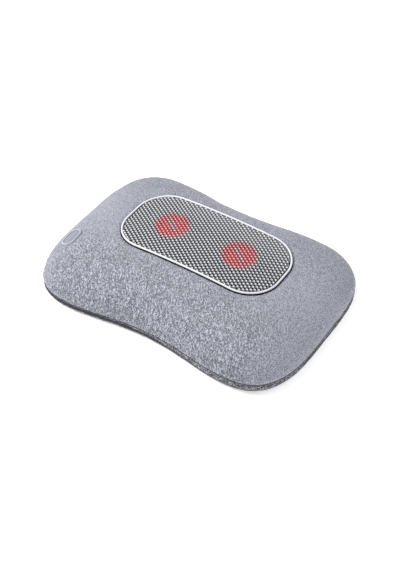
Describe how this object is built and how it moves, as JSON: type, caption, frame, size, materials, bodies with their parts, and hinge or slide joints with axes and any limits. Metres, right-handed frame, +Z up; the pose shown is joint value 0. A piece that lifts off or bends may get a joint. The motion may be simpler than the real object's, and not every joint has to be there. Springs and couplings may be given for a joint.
{
  "type": "shiatsu massage pillow",
  "caption": "Waisted plush neck massage cushion with a mesh panel over two counter-rotating, red-lit kneading heads driven by a worm-geared motor.",
  "frame": {"origin": "middle of the underside, on the surface it lies on", "axes": "+X along the pillow to its right end, +Y to the back, the panel's side, +Z up"},
  "size_m": [0.379, 0.2602, 0.067],
  "materials": {
    "plush": "short grey plush, dry and matt",
    "heather": "dark heather knit",
    "satin": "light satin piping",
    "mesh": "silver spacer mesh with open holes",
    "foam": "charcoal open-cell cushion foam",
    "case": "fine-textured moulded plastic",
    "acetal": "natural acetal",
    "brass": "machined brass",
    "steel": "turned steel",
    "motor": "plated motor steel",
    "lens": "translucent red plastic",
    "circuit": "green circuit board",
    "black": "black moulded plastic",
    "wrap": "blue battery sleeve",
    "soft_grey": "soft-touch grey",
    "lead": "black lead sheath",
    "zip": "woven zip tape"
  },
  "bodies": {
    "pillow": {"base_cover": "heather", "top_cover": "plush", "mesh_panel": "mesh", "panel_piping": "satin", "foam_surround": "foam", "base_pad": "foam", "housing_lower": "case", "housing_upper": "case", "housing_screw_1": "steel", "housing_screw_2": "steel", "housing_screw_3": "steel", "housing_screw_4": "steel", "gear_case_left": "acetal", "gear_lid_left": "acetal", "light_board_left": "circuit", "led_left_1": "lens", "led_left_2": "lens", "battery_cradle_left": "black", "battery_cell_left": "wrap", "gear_case_right": "acetal", "gear_lid_right": "acetal", "light_board_right": "circuit", "led_right_1": "lens", "led_right_2": "lens", "battery_cradle_right": "black", "battery_cell_right": "wrap", "motor_can": "motor", "motor_end_bell": "black", "motor_driver": "black", "board_capacitor": "black", "button_case": "black", "tact_switch": "black", "charge_socket": "black", "control_board": "circuit", "button_board": "circuit", "button_bezel": "soft_grey", "socket_bezel": "soft_grey", "socket_lead": "lead", "button_lead": "lead", "zip_tape_front": "zip", "zip_tape_rear": "zip"},
    "left_head": {"worm_wheel_left": "acetal", "output_shaft_left": "steel", "carrier_left": "black", "hub_screw_left": "steel", "massage_lobe_left_rear": "lens", "massage_lobe_left_front": "lens"},
    "right_head": {"worm_wheel_right": "acetal", "output_shaft_right": "steel", "carrier_right": "black", "hub_screw_right": "steel", "massage_lobe_right_rear": "lens", "massage_lobe_right_front": "lens"},
    "rotor": {"rotor_shaft": "steel", "motor_armature": "motor", "worm_left": "brass", "worm_right": "brass"},
    "button": {"power_button": "soft_grey"},
    "slider": {"zip_slider": "steel"},
    "pull": {"zip_pull": "steel"}
  },
  "joints": [
    {"name": "left_head_spin", "type": "hinge", "parent": "pillow", "child": "left_head", "pos_m": [-0.051, 0.022, 0.04], "axis": [0, 0, 1], "continuous": true},
    {"name": "right_head_spin", "type": "hinge", "parent": "pillow", "child": "right_head", "pos_m": [0.051, 0.022, 0.04], "axis": [0, 0, 1], "continuous": true},
    {"name": "rotor_spin", "type": "hinge", "parent": "pillow", "child": "rotor", "pos_m": [0, 0.0005, 0.021], "axis": [1, 0, 0], "continuous": true},
    {"name": "button_press", "type": "slide", "parent": "pillow", "child": "button", "axis": [0.3923, 0.0857, -0.9159], "range_m": [0, 0.0012], "stiffness_N_per_m": 1500},
    {"name": "zip_slide", "type": "slide", "parent": "pillow", "child": "slider", "axis": [1, 0, 0], "range_m": [0, 0.185]},
    {"name": "pull_swing", "type": "hinge", "parent": "slider", "child": "pull", "pos_m": [-0.1, -0.06, 0.0016], "axis": [0, 1, 0], "range_deg": [0, 110]}
  ],
  "couplings": [
    {"joint": "right_head_spin", "follows": "left_head_spin", "ratio": -1},
    {"joint": "rotor_spin", "follows": "left_head_spin", "ratio": -28}
  ]
}
